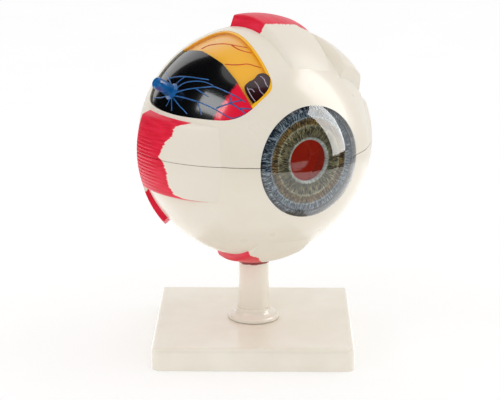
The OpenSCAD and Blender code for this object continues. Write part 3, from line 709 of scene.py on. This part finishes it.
class EYE_OT_studio(bpy.types.Operator):
    """Floor, lamps, world and camera"""

    bl_idname = "eye.studio"
    bl_label = "Studio"

    def execute(self, context):
        studio = context.scene.eye_studio
        self.add_camera(context, studio)
        self.add_floor(context, studio)
        self.add_world(context, studio)
        for lamp in (
            ("softbox_right", (100, 22.5), 0.75, (0.5, 0.9), studio.key, WARM_WHITE, "glossy"),
            ("softbox_left", (-60, 30), 0.8, (0.4, 0.4), studio.fill, PLAIN_WHITE, "glossy"),
            ("sheen_right", (94.5, 26), 0.75, (0.416, 0.87), studio.sheen_right, WARM_WHITE,
             "diffuse"),
            ("sheen_left", (-53, 40), 0.8, (0.4, 0.24), studio.sheen_left, COOL_WHITE, "diffuse"),
        ):
            add_area_lamp(*lamp)
        self.add_dark_room()
        self.add_table(studio)
        context.scene.view_settings.view_transform = "Standard"
        return {"FINISHED"}

    def add_camera(self, context, studio):
        """The camera, turned to its target."""
        out = view_direction(studio.azimuth, studio.elevation)
        bpy.ops.object.camera_add(location=Vector(studio.target) + out * studio.distance)
        camera = context.object
        camera.rotation_euler = out.to_track_quat("Z", "Y").to_euler()
        camera.data.lens = studio.focal_length
        camera.data.sensor_width = 36
        camera.data.clip_start = 0.01
        context.scene.camera = camera

    def add_floor(self, context, studio):
        """White paper under the stand, a little brighter for the camera than its light."""
        material, tree = new_material("white_paper")
        grain = noise(tree, place_pattern(tree, scale=(0.02, 0.02, 0.02)), 2.0)
        paper = mix(tree, grain, linear("F6F6F6"), linear("FAFAFA"))
        diffuse = add(tree, "BsdfDiffuse", {"Color": paper}).outputs[0]
        seen = add(tree, "LightPath").outputs["Is Camera Ray"]
        strength = calculate(tree, "MULTIPLY", seen, studio.floor_lift)
        inputs = {"Color": linear("FFFFFF"), "Strength": strength}
        lift = add(tree, "Emission", inputs).outputs[0]
        finish_material(material, add(tree, "AddShader", {0: diffuse, 1: lift}).outputs[0])
        bpy.ops.mesh.primitive_plane_add(size=1)
        floor = context.object
        floor.name = "floor"
        bpy.ops.object.mode_set(mode="EDIT")
        bpy.ops.transform.resize(value=(FLOOR_SIZE, FLOOR_SIZE, 1))
        bpy.ops.object.mode_set(mode="OBJECT")
        floor.data.materials.append(material)
        floor.visible_glossy = False

    def add_world(self, context, studio):
        """White all round: full for camera, glass and gloss, weaker on matt surfaces."""
        world = bpy.data.worlds.new("studio")
        world.use_nodes = True
        context.scene.world = world
        tree = world.node_tree
        tree.nodes.clear()
        path = add(tree, "LightPath").outputs
        shown = calculate(tree, "MAXIMUM", path["Is Camera Ray"], path["Is Transmission Ray"])
        shown = calculate(tree, "MAXIMUM", shown, path["Is Glossy Ray"])
        strength = calculate(tree, "MULTIPLY_ADD", shown, 1 - studio.ambient, studio.ambient)
        light = add(tree, "Background", {"Color": linear("FFFFFF"), "Strength": strength})
        add(tree, "OutputWorld", {"Surface": light.outputs[0]})

    def show_to_gloss(self, card, name, material):
        """Makes a card of the studio that only glossy surfaces see."""
        card.name = name
        card.data.materials.append(material)
        card.visible_camera = False
        card.visible_diffuse = False
        card.visible_transmission = False
        card.visible_shadow = False

    def add_dark_room(self):
        """A dark screen round the front, open at the back: the dark of the room."""
        opening = Vector((math.sin(ROOM_TURN), math.cos(ROOM_TURN), 0))
        bpy.ops.mesh.primitive_cylinder_add(
            vertices=96, radius=ROOM_RADIUS, depth=ROOM_HEIGHT, end_fill_type="NOTHING",
            location=(0, 0, ROOM_MIDDLE),
        )
        bpy.ops.object.mode_set(mode="EDIT")
        bpy.ops.mesh.select_all(action="SELECT")
        bpy.ops.mesh.bisect(plane_co=opening * ROOM_REACH, plane_no=opening, clear_outer=True)
        bpy.ops.object.mode_set(mode="OBJECT")
        material, tree = new_material("black_cloth")
        weave = noise(tree, place_pattern(tree, scale=(0.5, 0.5, 0.5)), 2.0)
        cloth = mix(tree, weave, linear("0A0A0A"), linear("141414"))
        finish_material(material, add(tree, "BsdfDiffuse", {"Color": cloth}).outputs[0])
        self.show_to_gloss(bpy.context.object, "dark_room", material)

    def add_table(self, studio):
        """The bright table round the stand, as the lower side of the eye mirrors it."""
        bpy.ops.mesh.primitive_circle_add(
            vertices=96, radius=TABLE_RADIUS, fill_type="NGON", location=(0, 0, TABLE_LEVEL)
        )
        material, tree = new_material("lit_table_top")
        cloud = noise(tree, place_pattern(tree, scale=(0.01, 0.01, 0.01)), 2.0)
        white = mix(tree, cloud, linear("FBFBFB"), linear("FFFFFF"))
        light = add(tree, "Emission", {"Color": white, "Strength": studio.table_glow})
        finish_material(material, light.outputs[0])
        self.show_to_gloss(bpy.context.object, "table_sheen", material)


# ---- the model's own pieces ---------------------------------------------------------------


class EYE_OT_stand(bpy.types.Operator):
    """Base, post, washer and screw"""

    bl_idname = "eye.stand"
    bl_label = "Stand"

    def post_plastic(self, colours):
        """Glossy ABS whose top carries a band of painted shade in dark red, under the lower muscle.
        """
        material, tree = new_material("ivory_abs_post")
        where = place_pattern(tree, Matrix.Translation(CENTRE))
        height = add(tree, "SeparateXYZ", {"Vector": where}).outputs[2]
        wavy = noise(tree, place_pattern(tree, scale=(0.4, 0.4, 0.1)), 2.0)
        # Painted shade: dark red at the top of the post, standing in for the shaded red underside
        # of the lower muscle
        painted_shade = span(tree, calculate(tree, "MULTIPLY_ADD", wavy, 1.0, height), *POST_PAINTED_SHADE)
        cloud = noise(tree, place_pattern(tree, scale=(0.05, 0.05, 0.05)), 3.0)
        base = mix(tree, cloud, colours.stand, colours.ivory)
        skin = mix(tree, painted_shade, base, linear("8A1C14"))
        return finish_material(material, plastic(tree, skin, 0.24, None, 0.2, 0.1, 0.35))

    def execute(self, context):
        colours = context.scene.eye_colours
        dress(ivory_plastic("ivory_abs_gloss", colours.stand, colours.ivory, 0.22, 0.2), "base")
        dress(self.post_plastic(colours), "post")
        steel = brushed_steel("stainless_steel")
        dress(steel, "post_washer", "post_screw", "locating_pins", "cradle_pins")
        return {"FINISHED"}


class EYE_OT_sclera(bpy.types.Operator):
    """Both halves of the sclera and of the optic nerve"""

    bl_idname = "eye.sclera"
    bl_label = "Sclera"

    def execute(self, context):
        colours = context.scene.eye_colours
        shell = ivory_plastic("ivory_abs_satin", colours.ivory, colours.ivory_shade, 0.3, 0.15)
        dress(shell, "sclera_upper", "sclera_lower")
        dress(shell, "optic_nerve_upper", "optic_nerve_lower")
        return {"FINISHED"}


class EYE_OT_muscles(bpy.types.Operator):
    """Muscles: smooth wedges that rise out of the globe towards their cut ends"""

    bl_idname = "eye.muscles"
    bl_label = "Muscles"

    def side_of_section(self, side, ball, half, slope, drop):
        """Points down one sloped side of a muscle's section, from the shoulder to the foot."""
        flat = half - slope / 2
        points = []
        for i in range(SIDE_STEPS + 1):
            x = flat + slope * i / SIDE_STEPS
            fall = drop * (1 - math.cos(math.pi * i / SIDE_STEPS)) / 2
            points.append((side * x, math.sqrt(ball * ball - x * x) - fall))
        return points

    def section(self, ball, thick, width, slopes):
        """Outline of the section across a muscle: across, and out from the spin axis."""
        half, drop = width / 2, thick + 0.5 * MM
        left = self.side_of_section(-1, ball, half, slopes[0], drop)
        right = self.side_of_section(1, ball, half, slopes[1], drop)
        first, last = left[0][0], right[0][0]
        back = []
        for i in range(1, BACK_STEPS):
            x = first + (last - first) * i / BACK_STEPS
            back.append((x, math.sqrt(ball * ball - x * x)))
        foot = min(left[-1][1], right[-1][1]) - MM
        return [*reversed(left), *back, *right, (right[-1][0], foot), (left[-1][0], foot)]

    def wedge(self, name, body, material, places, sizes, lean=0.0, seam=0, hole=0):
        """Spins the section from cut to tendon, trims it and seats it on the globe.

        A seam keeps the part above it (1) or below it (-1); a hole lets the post through.
        """
        bend = toward(places[0]).angle(toward(places[1]))
        thick, width = (size * MM for size in sizes[:2])
        slopes = [slope * MM for slope in sizes[2]]
        crown = GLOBE_R + thick
        shift = (crown**2 - GLOBE_R**2) / (2 * (crown - GLOBE_R * math.cos(bend)))
        turn = math.atan2(GLOBE_R * math.sin(bend), GLOBE_R * math.cos(bend) - shift)
        start = Matrix.Rotation(SPIN_BEFORE, 3, "X")
        points = [
            start @ Vector((x, 0, r)) + Vector((0, 0, shift))
            for x, r in self.section(crown - shift, thick, width, slopes)
        ]
        bpy.ops.object.select_all(action="DESELECT")
        bpy.ops.mesh.primitive_plane_add(size=MM, location=points[0], enter_editmode=True)
        bpy.ops.mesh.merge(type="CENTER")
        for here, there in zip(points, points[1:]):
            bpy.ops.mesh.extrude_region_move(TRANSFORM_OT_translate={"value": there - here})
        bpy.ops.mesh.select_all(action="SELECT")
        bpy.ops.mesh.edge_face_add()
        bpy.ops.mesh.spin(
            steps=SPIN_STEPS, angle=turn + SPIN_BEFORE + SPIN_PAST, center=(0, 0, shift),
            axis=(1, 0, 0),
        )
        bpy.ops.mesh.select_all(action="SELECT")
        bpy.ops.mesh.normals_make_consistent(inside=False)
        cut_off((0, 0, GLOBE_R), (0, -math.cos(lean), math.sin(lean)))
        bpy.ops.object.mode_set(mode="OBJECT")
        made = bpy.context.object
        made.matrix_world = muscle_frame(places) @ made.matrix_world
        bpy.ops.object.transform_apply(location=True, rotation=True, scale=True)
        if seam:
            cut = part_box("sclera_upper")[0].z if seam > 0 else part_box("sclera_lower")[1].z
            bpy.ops.object.mode_set(mode="EDIT")
            cut_off((0, 0, cut), (0, 0, -seam))
            bpy.ops.object.mode_set(mode="OBJECT")
        bpy.ops.mesh.primitive_uv_sphere_add(
            segments=160, ring_count=80, radius=GLOBE_R - SEAT_DEPTH, location=CENTRE
        )
        self.take_away(made, bpy.context.object)
        if hole:
            bpy.ops.mesh.primitive_cylinder_add(
                vertices=64, radius=hole * MM, depth=GLOBE_R, location=(0, 0, CENTRE.z - GLOBE_R)
            )
            self.take_away(made, bpy.context.object)
        join_as([made], name, material, body)
        bpy.ops.object.shade_smooth_by_angle(angle=math.radians(35))
        return made

    def take_away(self, piece, tool):
        """Cuts a tool's shape out of a piece."""
        bpy.context.view_layer.objects.active = piece
        cut = piece.modifiers.new("cut", "BOOLEAN")
        cut.operation = "DIFFERENCE"
        cut.solver = "EXACT"
        cut.object = tool
        bpy.ops.object.modifier_apply(modifier=cut.name)
        bpy.data.objects.remove(tool)

    def execute(self, context):
        colours = context.scene.eye_colours
        lateral = muscle_paint(colours, "muscle_lacquer_lateral", LATERAL_MUSCLE, LATERAL_EDGE)
        medial = muscle_paint(colours, "muscle_lacquer_medial", MEDIAL_MUSCLE, MEDIAL_EDGE)
        top = muscle_paint(colours, "muscle_lacquer_top", TOP_MUSCLE, TOP_EDGE)
        low = muscle_paint(colours, "muscle_lacquer_low", LOW_MUSCLE, LOW_EDGE)
        strap = muscle_paint(colours, "muscle_lacquer_strap", LOW_STRAP, STRAP_EDGE)
        sides = (("lateral", lateral, LATERAL_MUSCLE), ("medial", medial, MEDIAL_MUSCLE))
        for side, paint, places in sides:
            for half, seam in (("upper", 1), ("lower", -1)):
                piece = self.wedge(
                    f"{side}_muscle_{half}", "sclera_" + half, paint, places, SIDE_SIZES,
                    seam=seam,
                )
                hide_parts(f"{side}_rectus_{half}")
        piece = self.wedge("top_muscle", "sclera_upper", top, TOP_MUSCLE, TOP_SIZES)
        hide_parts("superior_rectus")
        shell = ivory_plastic("ivory_abs_muscle", colours.ivory, colours.ivory_shade, 0.3, 0.15)
        piece = self.wedge(
            "top_strap", "sclera_upper", shell, TOP_STRAP, TOP_STRAP_SIZES, TOP_STRAP_LEAN
        )
        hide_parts("superior_oblique")
        piece = self.wedge(
            "low_muscle", "sclera_lower", low, LOW_MUSCLE, LOW_SIZES, hole=POST_HOLE
        )
        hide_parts("inferior_rectus")
        dress(strap, "inferior_oblique")
        return {"FINISHED"}


class EYE_OT_optics(bpy.types.Operator):
    """Cornea, iris, lens and vitreous body"""

    bl_idname = "eye.optics"
    bl_label = "Optics"

    def half_iris(self, name, body, side, material, sizes):
        """One half of the iris: a flange behind the cornea's rim and a raised printed disc."""
        back, front, wall = sizes.iris_back, sizes.iris_front, sizes.iris_wall
        cup, pupil = sizes.iris_cup_radius, sizes.pupil_radius
        bevel = wall * 0.4
        flange = wall * 0.75
        profile = (
            (pupil, front - wall),
            (cup - wall, front - wall),
            (cup - wall, back),
            (sizes.iris_flange_radius, back),
            (sizes.iris_flange_radius - 2 * flange, back + flange),
            (cup, back + flange),
            (cup, front),
            (pupil + bevel, front),
            (pupil, front - bevel),
        )
        bpy.ops.object.select_all(action="DESELECT")
        bpy.ops.mesh.primitive_circle_add(
            vertices=192, radius=profile[0][0], location=(0, 0, profile[0][1]), enter_editmode=True
        )
        for (radius, height), (next_radius, next_height) in zip(profile, profile[1:]):
            bpy.ops.mesh.extrude_region_move(
                TRANSFORM_OT_translate={"value": (0, 0, next_height - height)}
            )
            grow = next_radius / radius
            bpy.ops.transform.resize(value=(grow, grow, 1), center_override=(0, 0, next_height))
        bpy.ops.mesh.select_all(action="DESELECT")
        bpy.ops.mesh.select_non_manifold()
        bpy.ops.mesh.bridge_edge_loops()
        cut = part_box("iris_upper")[0].z if side > 0 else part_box("iris_lower")[1].z
        cut_off((0, cut - CENTRE.z, 0), (0, -side, 0))
        bpy.ops.object.mode_set(mode="OBJECT")
        bpy.context.object.matrix_world = GAZE_FRAME @ bpy.context.object.matrix_world
        piece = join_as([bpy.context.object], name, material, body)
        bpy.ops.object.shade_smooth_by_angle(angle=math.radians(30))
        return piece

    def execute(self, context):
        sizes = context.scene.eye_sizes
        rim = math.sqrt(GLOBE_R**2 - sizes.limbus_radius**2)
        dress(
            cornea_plastic("crystal_styrene_cornea", sizes.limbus_radius, rim),
            "cornea_upper", "cornea_lower",
        )
        dress(clear_plastic("crystal_styrene_lens", linear("F6F4EE"), 0.02), "lens")
        dress(clear_plastic("crystal_styrene_vitreous", linear("F8F4F0"), 0.03), "vitreous_body")
        foil = iris_print("printed_iris_foil", sizes.limbus_radius)
        for half, side in (("upper", 1), ("lower", -1)):
            piece = self.half_iris("iris_disc_" + half, "choroid_" + half, side, foil, sizes)
            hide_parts("iris_" + half)
        return {"FINISHED"}


class EYE_OT_inner_shells(bpy.types.Operator):
    """Choroid, retina and ciliary ring"""

    bl_idname = "eye.inner_shells"
    bl_label = "Inner shells"

    def execute(self, context):
        # Colour of the painted glow, a dim red emission on the retina and the ciliary ring
        red = linear("6E1E14")
        choroid = flat_lacquer("choroid_lacquer", linear("5A2A1C"), linear("47190F"), 6.0, 0.4)
        retina = flat_lacquer("retina_lacquer", linear("E0602E"), linear("D04A22"), 5.0, 0.45)
        ring = flat_lacquer("ciliary_lacquer", linear("6A2F22"), linear("4A1C14"), 2.0, 0.4)
        add_painted_glow(retina, red)
        add_painted_glow(ring, red)
        dress(choroid, "choroid_upper", "choroid_lower")
        dress(retina, "retina_upper", "retina_lower")
        dress(ring, "ciliary_ring_upper", "ciliary_ring_lower")
        return {"FINISHED"}


class EYE_OT_window(bpy.types.Operator):
    """Fields of the window, the cut vein and everything painted on them"""

    bl_idname = "eye.window"
    bl_label = "Window"

    # Routes in degrees across and up from the middle of the window
    veins = [
        [(-18, -9), (-22.6, -5), (-31, 1.5)],
        [(-16, -9), (-14.6, -6.3), (-11.9, -4)],
        [(-23, -3.6), (-17, -3.4), (-11.4, -3.7), (-6, -4), (-1.3, -4.2), (3.5, -4.2)],
        [(-15, -11), (-11.6, -8), (-7.9, -6.6), (-2.2, -5.8), (2.3, -5.8), (7.1, -6.8)],
        [(-14, -12.4), (-9.4, -11.2), (-5.5, -10.3), (-1.1, -9.4), (3.4, -8.3), (7.3, -7.3),
         (10.6, -7.5), (15.4, -8.2), (19.7, -8.8), (25, -9.9)],
        [(-1.8, -9.7), (1.2, -10.9), (4.4, -11.9), (6.6, -12.7)],
        [(-14, -14), (-7.8, -14.8), (-2.6, -15.6), (2.7, -16.2), (7.3, -17), (11.7, -17.8),
         (15.5, -18.7), (18.8, -19.4), (21.3, -19.4), (23.9, -18), (27, -15.6)],
        [(2.1, -16.5), (3.9, -19.1), (5.9, -22)],
        [(12.5, -17.2), (15, -15.3), (17.8, -13.2), (17.9, -10.7), (18, -8.8)],
        [(17.9, -12.9), (21.3, -13.4), (24.5, -14.2), (27.2, -15)],
        [(23.6, -13.8), (26.5, -12.7), (29, -11.9)],
        [(18.4, -12.8), (21, -11.1), (23.2, -9.8)],
        [(-15, -14.5), (-8.7, -18.9), (-4.8, -21.1), (-2.4, -22.8)],
        [(-15.5, -14.5), (-13.5, -19.4), (-12.6, -21.6)],
        [(-16.5, -14.5), (-17, -17.8), (-17.9, -19)],
        [(-18, -13.4), (-24.9, -13.9), (-34, -12)],
    ]
    arteries = [
        [(-14, 16), (-11.2, 18.7), (-7, 20), (-2.7, 20.8), (2, 20.8), (7, 20.7), (11, 21)],
        [(2.2, 20.6), (7.3, 18.4), (11.9, 17.8), (15, 18)],
        [(6.8, 6.8), (10, 7.2), (13.6, 8.4), (17.2, 10.3), (21.1, 10.6), (24, 10.8)],
    ]
    folds = [
        [(23.4, -3), (25.6, -5.1), (27.8, -6.8), (29.6, -7.8)],
        [(24, -3.6), (25.7, -2.9), (27.5, -3.7)],
        [(25.3, 1.4), (27.6, 0.1), (29.8, -2.1), (32, -3)],
        [(26.4, 5.2), (28.4, 4.7), (30.6, 2.6), (32.2, 1.4)],
    ]

    def lines(self, routes, depth, width, taper):
        """Draws every route at that depth under the surface of the globe."""
        radius = GLOBE_R - depth
        return [
            draw_line([on_globe(p, radius) for p in smooth_route(route)], width / 2, taper)
            for route in routes
        ]

    def execute(self, context):
        colours, sizes = context.scene.eye_colours, context.scene.eye_sizes
        dress(retina_paint(colours, "retina_window_lacquer"), "retina_window")
        dress(choroid_paint(colours, "choroid_window_lacquer"), "choroid_window")
        maroon = flat_lacquer(
            "ciliary_window_lacquer", colours.maroon, linear("22030A"), 3.0, 0.2, 0.5
        )
        dress(maroon, "ciliary_window")
        blue = flat_lacquer("vein_lacquer", colours.vein_blue, linear("0E4F8C"), 3.0, 0.2, 0.4)
        dress(blue, "vortex_vein")
        body = "sclera_upper"
        join_as(
            self.lines(self.veins, CHOROID_DEPTH, sizes.vein_width, VESSEL_TAPER),
            "vein_branches", blue, body,
        )
        red = flat_lacquer("artery_lacquer", colours.artery_red, linear("C8240E"), 2.0, 0.3)
        join_as(
            self.lines(self.arteries, RETINA_DEPTH, sizes.artery_width, VESSEL_TAPER),
            "retina_arteries", red, body,
        )
        lilac = flat_lacquer("lilac_lacquer", linear("B7A9B8"), linear("9C8C9E"), 2.0, 0.3)
        join_as(
            self.lines(self.folds, CILIARY_DEPTH, FOLD_WIDTH, FOLD_TAPER),
            "ciliary_lines", lilac, body,
        )
        return {"FINISHED"}


class EYE_PT_panel(bpy.types.Panel):
    """Steps and settings of the eye model"""

    bl_idname = "EYE_PT_panel"
    bl_label = "Eye model"
    bl_space_type = "VIEW_3D"
    bl_region_type = "UI"
    bl_category = "Eye model"

    def draw(self, context):
        for step in STEPS:
            self.layout.operator(step.bl_idname)
        for group, kind in GROUPS.items():
            box = self.layout.box()
            for name in kind.__annotations__:
                box.prop(getattr(context.scene, group), name)


STEPS = (
    EYE_OT_studio,
    EYE_OT_stand,
    EYE_OT_sclera,
    EYE_OT_muscles,
    EYE_OT_optics,
    EYE_OT_inner_shells,
    EYE_OT_window,
)
GROUPS = {"eye_colours": EyeColours, "eye_sizes": EyeSizes, "eye_studio": EyeStudio}


def register():
    """Makes the settings, the steps and the panel known to Blender."""
    for cls in (*GROUPS.values(), *STEPS, EYE_PT_panel):
        bpy.utils.register_class(cls)
    for name, group in GROUPS.items():
        setattr(bpy.types.Scene, name, bpy.props.PointerProperty(type=group))


def unregister():
    """Takes back what register() made known."""
    for name in GROUPS:
        delattr(bpy.types.Scene, name)
    for cls in (EYE_PT_panel, *reversed(STEPS), *GROUPS.values()):
        bpy.utils.unregister_class(cls)


def main():
    """Runs every step."""
    register()
    for step in STEPS:
        area, name = step.bl_idname.split(".")
        getattr(getattr(bpy.ops, area), name)()


if __name__ == "__main__":
    main()
